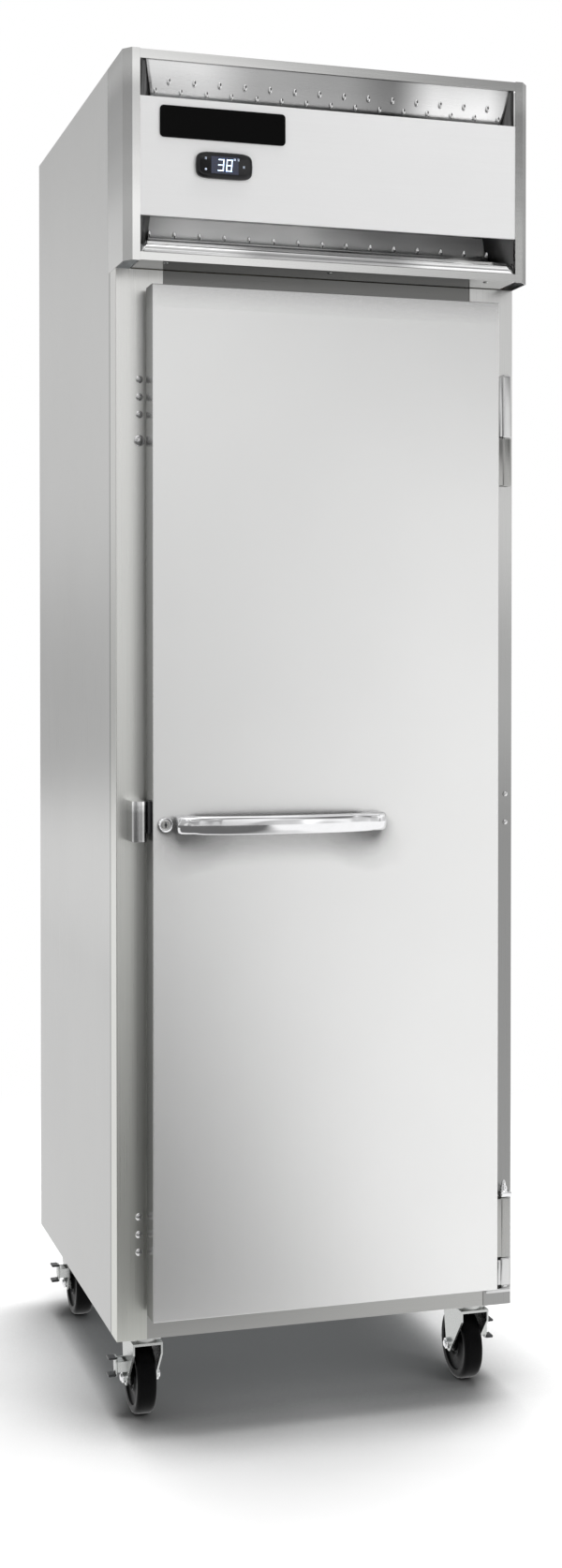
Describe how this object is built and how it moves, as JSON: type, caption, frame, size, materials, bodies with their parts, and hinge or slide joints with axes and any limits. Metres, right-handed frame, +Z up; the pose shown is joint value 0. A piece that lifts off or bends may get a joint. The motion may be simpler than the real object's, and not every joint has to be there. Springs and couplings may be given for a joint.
{
  "type": "reach in refrigerator",
  "caption": "Tall upright stainless reach in refrigerator with a full height hinged door, bow handle, louvred header with a digital controller and swivel casters.",
  "frame": {"origin": "on the floor under the middle of the bounding box", "axes": "+Z up, the door and controls face -Y, +X is to the right of someone who faces the door"},
  "size_m": [0.6604, 0.788, 2.122],
  "materials": {
    "stainless": "vertical brushed satin",
    "galvanised": "galvanised sheet",
    "aluminium": "mill finish",
    "grey_plastic": "soft matt",
    "foam": "foamed in place",
    "coated_wire": "epoxy coated",
    "chrome": "polished",
    "black_gloss": "gloss black",
    "display": "lit numerals on black",
    "lamp": "frosted lens",
    "black_enamel": "black enamel",
    "coil_metal": "thin bright fins",
    "dark_plastic": "moulded",
    "copper": "drawn copper tube",
    "zinc": "zinc plated",
    "tyre": "semi-gloss rubber"
  },
  "bodies": {
    "cabinet": {"back_panel": "galvanised", "base_pan": "galvanised", "breaker_strips": "grey_plastic", "caster_plates": "zinc", "compressor": "black_enamel", "condenser_coil": "coil_metal", "condenser_shroud": "galvanised", "controller_case": "black_gloss", "controller_display": "display", "cord_gland": "dark_plastic", "evaporator_coil": "coil_metal", "evaporator_housing": "galvanised", "fan_motors": "dark_plastic", "foam_insulation": "foam", "front_rails": "stainless", "header_frame": "stainless", "header_panel": "stainless", "hinge_frame_halves": "chrome", "interior_lamp": "lamp", "interior_liner": "aluminium", "junction_box": "galvanised", "lower_scoop": "stainless", "nameplate": "black_gloss", "plug_buttons": "chrome", "rear_grille": "galvanised", "refrigerant_lines": "copper", "shelf_clips": "aluminium", "shelf_posts": "aluminium", "side_panel_left": "stainless", "side_panel_right": "stainless", "stile_left": "stainless", "stile_right": "stainless", "stile_screws": "chrome", "strike": "chrome", "top_deck": "galvanised", "upper_scoop": "stainless", "wire_shelf_1": "coated_wire", "wire_shelf_2": "coated_wire", "wire_shelf_3": "coated_wire"},
    "door": {"door_skin": "stainless", "door_liner": "stainless", "door_foam": "foam", "door_gasket": "grey_plastic", "door_handle": "chrome", "hinge_door_halves": "chrome"},
    "door_lock_body": {"door_lock": "chrome"},
    "condenser_fan_body": {"condenser_fan": "dark_plastic"},
    "evaporator_fan_body": {"evaporator_fan": "dark_plastic"},
    "fork_front_left": {"caster_fork_front_left": "zinc"},
    "wheel_front_left": {"caster_wheel_front_left": "tyre"},
    "brake_front_left": {"caster_brake_front_left": "zinc"},
    "fork_front_right": {"caster_fork_front_right": "zinc"},
    "wheel_front_right": {"caster_wheel_front_right": "tyre"},
    "brake_front_right": {"caster_brake_front_right": "zinc"},
    "fork_rear_left": {"caster_fork_rear_left": "zinc"},
    "wheel_rear_left": {"caster_wheel_rear_left": "tyre"},
    "brake_rear_left": {"caster_brake_rear_left": "zinc"},
    "fork_rear_right": {"caster_fork_rear_right": "zinc"},
    "wheel_rear_right": {"caster_wheel_rear_right": "tyre"},
    "brake_rear_right": {"caster_brake_rear_right": "zinc"}
  },
  "joints": [
    {"name": "door_hinge", "type": "hinge", "parent": "cabinet", "child": "door", "pos_m": [0.3045, -0.319, 0.95], "axis": [0, 0, 1], "range_deg": [0, 120]},
    {"name": "lock_turn", "type": "hinge", "parent": "door", "child": "door_lock_body", "pos_m": [-0.2649, -0.335, 0.9483], "axis": [0, -1, 0], "range_deg": [0, 90]},
    {"name": "condenser_fan_spin", "type": "hinge", "parent": "cabinet", "child": "condenser_fan_body", "pos_m": [0.17, -0.131, 1.923], "axis": [0, 1, 0], "continuous": true},
    {"name": "evaporator_fan_spin", "type": "hinge", "parent": "cabinet", "child": "evaporator_fan_body", "pos_m": [-0.19, 0.219, 1.913], "axis": [0, 1, 0], "continuous": true},
    {"name": "swivel_front_left", "type": "hinge", "parent": "cabinet", "child": "fork_front_left", "pos_m": [-0.276, -0.238, 0.14], "axis": [0, 0, 1], "continuous": true},
    {"name": "roll_front_left", "type": "hinge", "parent": "fork_front_left", "child": "wheel_front_left", "pos_m": [-0.276, -0.21, 0.058], "axis": [1, 0, 0], "continuous": true},
    {"name": "brake_front_left", "type": "hinge", "parent": "fork_front_left", "child": "brake_front_left", "pos_m": [-0.3095, -0.21, 0.079], "axis": [0, -1, 0], "range_deg": [0, 14]},
    {"name": "swivel_front_right", "type": "hinge", "parent": "cabinet", "child": "fork_front_right", "pos_m": [0.276, -0.238, 0.14], "axis": [0, 0, 1], "continuous": true},
    {"name": "roll_front_right", "type": "hinge", "parent": "fork_front_right", "child": "wheel_front_right", "pos_m": [0.276, -0.21, 0.058], "axis": [1, 0, 0], "continuous": true},
    {"name": "brake_front_right", "type": "hinge", "parent": "fork_front_right", "child": "brake_front_right", "pos_m": [0.3095, -0.21, 0.079], "axis": [0, 1, 0], "range_deg": [0, 14]},
    {"name": "swivel_rear_left", "type": "hinge", "parent": "cabinet", "child": "fork_rear_left", "pos_m": [-0.276, 0.326, 0.14], "axis": [0, 0, 1], "continuous": true},
    {"name": "roll_rear_left", "type": "hinge", "parent": "fork_rear_left", "child": "wheel_rear_left", "pos_m": [-0.276, 0.298, 0.058], "axis": [1, 0, 0], "continuous": true},
    {"name": "brake_rear_left", "type": "hinge", "parent": "fork_rear_left", "child": "brake_rear_left", "pos_m": [-0.3095, 0.298, 0.079], "axis": [0, -1, 0], "range_deg": [0, 14]},
    {"name": "swivel_rear_right", "type": "hinge", "parent": "cabinet", "child": "fork_rear_right", "pos_m": [0.276, 0.326, 0.14], "axis": [0, 0, 1], "continuous": true},
    {"name": "roll_rear_right", "type": "hinge", "parent": "fork_rear_right", "child": "wheel_rear_right", "pos_m": [0.276, 0.298, 0.058], "axis": [1, 0, 0], "continuous": true},
    {"name": "brake_rear_right", "type": "hinge", "parent": "fork_rear_right", "child": "brake_rear_right", "pos_m": [0.3095, 0.298, 0.079], "axis": [0, 1, 0], "range_deg": [0, 14]}
  ]
}
